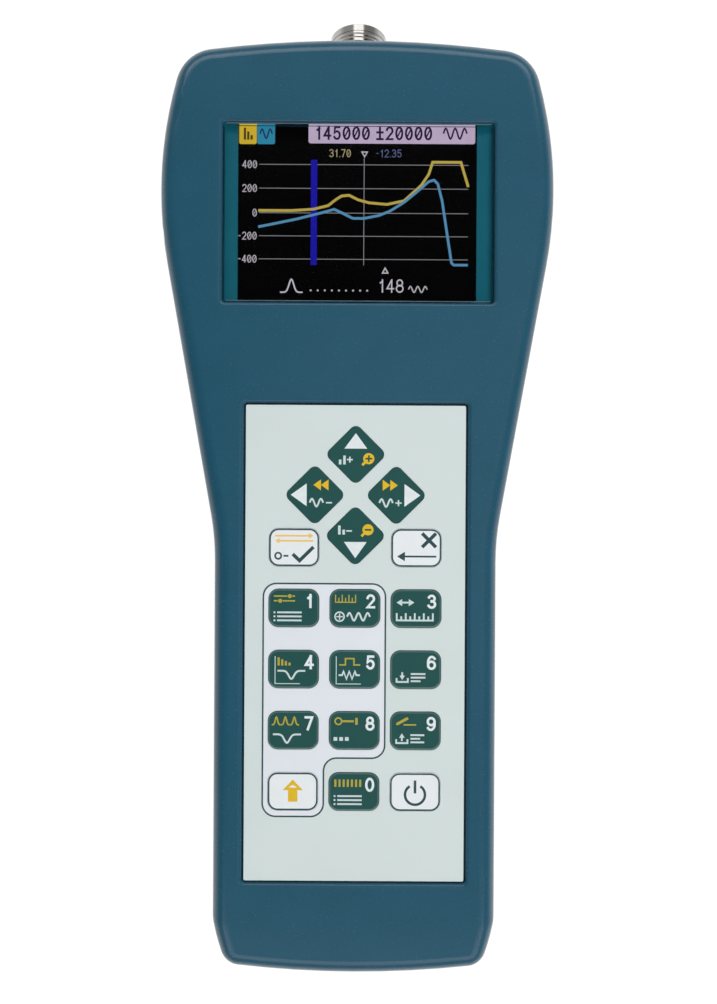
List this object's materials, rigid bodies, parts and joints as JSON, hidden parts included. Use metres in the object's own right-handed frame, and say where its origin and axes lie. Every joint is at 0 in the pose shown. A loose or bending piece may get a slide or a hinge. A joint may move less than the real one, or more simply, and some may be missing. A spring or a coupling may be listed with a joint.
{
  "type": "antenna analyzer",
  "caption": "Hand-held antenna analyzer with a waisted plastic case, a clear display window, a membrane keypad of sprung keys, a coaxial jack on its end and a sliding battery door.",
  "frame": {"origin": "on the plane of the flat back, under the middle of the overall length from the bottom end to the tip of the jack, on the centre line", "axes": "+Z out of the face with the display and keys, +Y along the length towards the jack, +X to the right when the face is read with the jack at the top"},
  "size_m": [0.098, 0.2508, 0.055],
  "materials": {
    "case_plastic": "satin",
    "gasket_rubber": "matte",
    "screw_steel": "satin",
    "insert_brass": "satin",
    "lens_clear": "gloss",
    "tape_teal": "matte",
    "lcd_glass": "gloss",
    "backlight_white": "matte",
    "carrier_black": "matte",
    "ribbon_amber": "satin",
    "overlay_film": "satin",
    "spacer_film": "matte",
    "circuit_film": "satin",
    "key_green": "satin",
    "key_white": "satin",
    "board_green": "satin",
    "connector_beige": "matte",
    "chip_black": "matte",
    "capacitor_can": "satin",
    "tinned_steel": "satin",
    "usb_plastic": "satin",
    "nickel_plate": "polished",
    "insulator_white": "satin",
    "contact_gold": "polished",
    "coax_copper": "satin",
    "cell_jacket": "satin",
    "contact_steel": "satin",
    "lead_red": "satin",
    "lead_black": "satin"
  },
  "bodies": {
    "case": {"battery_cell_1": "cell_jacket", "battery_cell_2": "cell_jacket", "battery_cell_3": "cell_jacket", "battery_lead_negative": "lead_black", "battery_lead_positive": "lead_red", "beeper": "chip_black", "board_capacitors": "capacitor_can", "board_chips": "chip_black", "board_screws": "screw_steel", "case_gasket": "gasket_rubber", "case_inserts": "insert_brass", "case_screws": "screw_steel", "coax_jumper": "coax_copper", "contact_bridges": "contact_steel", "contact_negative": "contact_steel", "contact_positive": "contact_steel", "display_lens": "lens_clear", "front_shell": "case_plastic", "jack_body": "nickel_plate", "jack_contact": "contact_gold", "jack_insulator": "insulator_white", "jack_nut": "nickel_plate", "jack_washer": "nickel_plate", "keypad_circuit": "circuit_film", "keypad_overlay": "overlay_film", "keypad_spacer": "spacer_film", "keypad_tail": "ribbon_amber", "lcd_backlight": "backlight_white", "lcd_carrier": "carrier_black", "lcd_panel": "lcd_glass", "lcd_ribbon": "ribbon_amber", "lcd_screws": "screw_steel", "lens_tape": "tape_teal", "main_board": "board_green", "rear_shell": "case_plastic", "ribbon_connectors": "connector_beige", "shield_can": "tinned_steel", "usb_insert": "usb_plastic", "usb_shell": "tinned_steel"},
    "key_0": {"key_0": "key_green"},
    "key_1": {"key_1": "key_green"},
    "key_2": {"key_2": "key_green"},
    "key_3": {"key_3": "key_green"},
    "key_4": {"key_4": "key_green"},
    "key_5": {"key_5": "key_green"},
    "key_6": {"key_6": "key_green"},
    "key_7": {"key_7": "key_green"},
    "key_8": {"key_8": "key_green"},
    "key_9": {"key_9": "key_green"},
    "key_cancel": {"key_cancel": "key_white"},
    "key_down": {"key_down": "key_green"},
    "key_function": {"key_function": "key_white"},
    "key_left": {"key_left": "key_green"},
    "key_ok": {"key_ok": "key_white"},
    "key_power": {"key_power": "key_white"},
    "key_right": {"key_right": "key_green"},
    "key_up": {"key_up": "key_green"},
    "battery_door": {"battery_door": "case_plastic"}
  },
  "joints": [
    {"name": "key_0_press", "type": "slide", "parent": "case", "child": "key_0", "axis": [0, 0, -1], "range_m": [0, 0.0004], "stiffness_N_per_m": 1500},
    {"name": "key_1_press", "type": "slide", "parent": "case", "child": "key_1", "axis": [0, 0, -1], "range_m": [0, 0.0004], "stiffness_N_per_m": 1500},
    {"name": "key_2_press", "type": "slide", "parent": "case", "child": "key_2", "axis": [0, 0, -1], "range_m": [0, 0.0004], "stiffness_N_per_m": 1500},
    {"name": "key_3_press", "type": "slide", "parent": "case", "child": "key_3", "axis": [0, 0, -1], "range_m": [0, 0.0004], "stiffness_N_per_m": 1500},
    {"name": "key_4_press", "type": "slide", "parent": "case", "child": "key_4", "axis": [0, 0, -1], "range_m": [0, 0.0004], "stiffness_N_per_m": 1500},
    {"name": "key_5_press", "type": "slide", "parent": "case", "child": "key_5", "axis": [0, 0, -1], "range_m": [0, 0.0004], "stiffness_N_per_m": 1500},
    {"name": "key_6_press", "type": "slide", "parent": "case", "child": "key_6", "axis": [0, 0, -1], "range_m": [0, 0.0004], "stiffness_N_per_m": 1500},
    {"name": "key_7_press", "type": "slide", "parent": "case", "child": "key_7", "axis": [0, 0, -1], "range_m": [0, 0.0004], "stiffness_N_per_m": 1500},
    {"name": "key_8_press", "type": "slide", "parent": "case", "child": "key_8", "axis": [0, 0, -1], "range_m": [0, 0.0004], "stiffness_N_per_m": 1500},
    {"name": "key_9_press", "type": "slide", "parent": "case", "child": "key_9", "axis": [0, 0, -1], "range_m": [0, 0.0004], "stiffness_N_per_m": 1500},
    {"name": "key_cancel_press", "type": "slide", "parent": "case", "child": "key_cancel", "axis": [0, 0, -1], "range_m": [0, 0.0004], "stiffness_N_per_m": 1500},
    {"name": "key_down_press", "type": "slide", "parent": "case", "child": "key_down", "axis": [0, 0, -1], "range_m": [0, 0.0004], "stiffness_N_per_m": 1500},
    {"name": "key_function_press", "type": "slide", "parent": "case", "child": "key_function", "axis": [0, 0, -1], "range_m": [0, 0.0004], "stiffness_N_per_m": 1500},
    {"name": "key_left_press", "type": "slide", "parent": "case", "child": "key_left", "axis": [0, 0, -1], "range_m": [0, 0.0004], "stiffness_N_per_m": 1500},
    {"name": "key_ok_press", "type": "slide", "parent": "case", "child": "key_ok", "axis": [0, 0, -1], "range_m": [0, 0.0004], "stiffness_N_per_m": 1500},
    {"name": "key_power_press", "type": "slide", "parent": "case", "child": "key_power", "axis": [0, 0, -1], "range_m": [0, 0.0004], "stiffness_N_per_m": 1500},
    {"name": "key_right_press", "type": "slide", "parent": "case", "child": "key_right", "axis": [0, 0, -1], "range_m": [0, 0.0004], "stiffness_N_per_m": 1500},
    {"name": "key_up_press", "type": "slide", "parent": "case", "child": "key_up", "axis": [0, 0, -1], "range_m": [0, 0.0004], "stiffness_N_per_m": 1500},
    {"name": "battery_door_slide", "type": "slide", "parent": "case", "child": "battery_door", "axis": [0, -1, 0], "range_m": [0, 0.08]}
  ]
}
